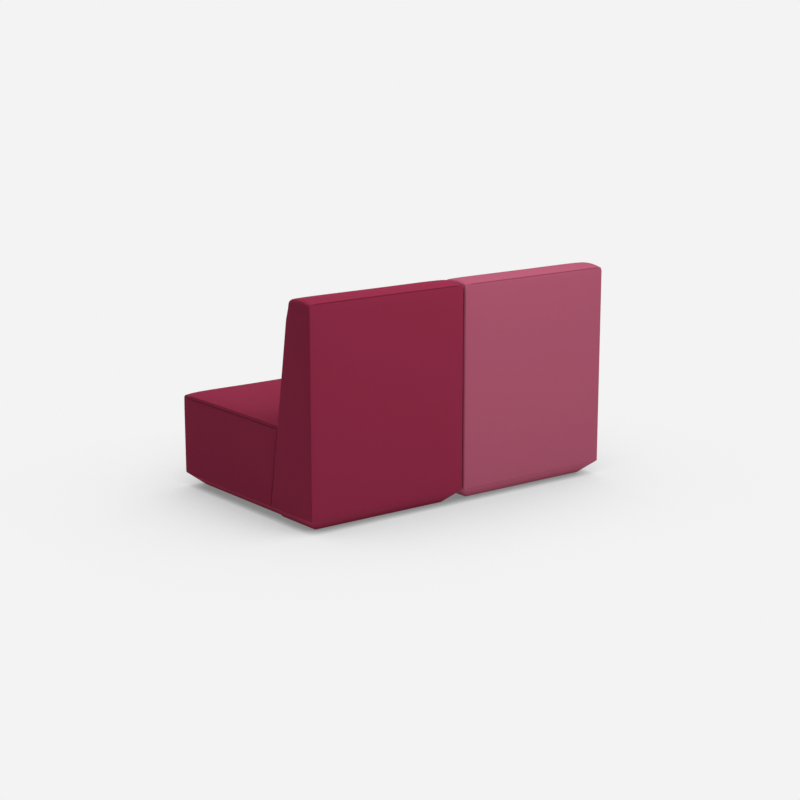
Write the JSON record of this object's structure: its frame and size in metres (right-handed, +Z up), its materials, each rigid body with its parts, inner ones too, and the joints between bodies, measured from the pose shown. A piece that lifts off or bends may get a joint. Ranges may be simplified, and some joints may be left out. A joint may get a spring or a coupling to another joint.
{
  "type": "high-back two-seat sofa",
  "caption": "Armless modular lounge sofa: low seat blocks with wedge-shaped high backs on a bevelled base, in tight wine and rose fabric; backs and modules lift off.",
  "frame": {"origin": "on the floor, in the middle of the sofa's width and depth", "axes": "+Z up; the seats face -Y; +X is the sitter's left, where the wine module stands"},
  "size_m": [1.32, 0.81, 0.8],
  "materials": {
    "wine_fabric": "matte",
    "rose_fabric": "matte",
    "foam": "matte",
    "felt": "matte",
    "webbing": "matte",
    "dust_cloth": "matte",
    "plywood": "satin",
    "timber": "matte",
    "spring_steel": "satin",
    "zinc_steel": "satin",
    "aluminium": "satin",
    "clip_plastic": "matte",
    "glide_plastic": "matte"
  },
  "bodies": {
    "left_seat": {"left_seat_base_board": "plywood", "left_seat_corner_posts": "timber", "left_seat_cover": "wine_fabric", "left_seat_cushion_foam": "foam", "left_seat_dust_cover": "dust_cloth", "left_seat_frame_screws": "zinc_steel", "left_seat_front_rail": "timber", "left_seat_glides": "glide_plastic", "left_seat_hook_rail": "aluminium", "left_seat_plinth": "timber", "left_seat_rear_rail": "timber", "left_seat_side_rails": "timber", "left_seat_spring_clips": "clip_plastic", "left_seat_spring_pad": "felt", "left_seat_springs": "spring_steel", "left_seat_wrap_foam": "foam", "link_bars": "zinc_steel", "link_bar_screws": "zinc_steel"},
    "right_seat": {"right_seat_base_board": "plywood", "right_seat_corner_posts": "timber", "right_seat_cover": "rose_fabric", "right_seat_cushion_foam": "foam", "right_seat_dust_cover": "dust_cloth", "right_seat_frame_screws": "zinc_steel", "right_seat_front_rail": "timber", "right_seat_glides": "glide_plastic", "right_seat_hook_rail": "aluminium", "right_seat_plinth": "timber", "right_seat_rear_rail": "timber", "right_seat_side_rails": "timber", "right_seat_spring_clips": "clip_plastic", "right_seat_spring_pad": "felt", "right_seat_springs": "spring_steel", "right_seat_wrap_foam": "foam", "link_bushes": "glide_plastic"},
    "left_back": {"left_back_cover": "wine_fabric", "left_back_front_foam": "foam", "left_back_glides": "glide_plastic", "left_back_hanger_rail": "aluminium", "left_back_lower_rail": "timber", "left_back_plinth": "timber", "left_back_rear_panel": "plywood", "left_back_top_foam": "foam", "left_back_top_rail": "timber", "left_back_uprights": "plywood", "left_back_webbing": "webbing", "left_back_wrap_foam": "foam"},
    "right_back": {"right_back_cover": "rose_fabric", "right_back_front_foam": "foam", "right_back_glides": "glide_plastic", "right_back_hanger_rail": "aluminium", "right_back_lower_rail": "timber", "right_back_plinth": "timber", "right_back_rear_panel": "plywood", "right_back_top_foam": "foam", "right_back_top_rail": "timber", "right_back_uprights": "plywood", "right_back_webbing": "webbing", "right_back_wrap_foam": "foam"}
  },
  "joints": [
    {"name": "right_module_lift", "type": "slide", "parent": "left_seat", "child": "right_seat", "axis": [0, 0, 1], "range_m": [0, 0.05]},
    {"name": "left_back_lift", "type": "slide", "parent": "left_seat", "child": "left_back", "axis": [0, 0.1593, 0.9872], "range_m": [0, 0.03]},
    {"name": "right_back_lift", "type": "slide", "parent": "right_seat", "child": "right_back", "axis": [0, 0.1593, 0.9872], "range_m": [0, 0.03]}
  ]
}
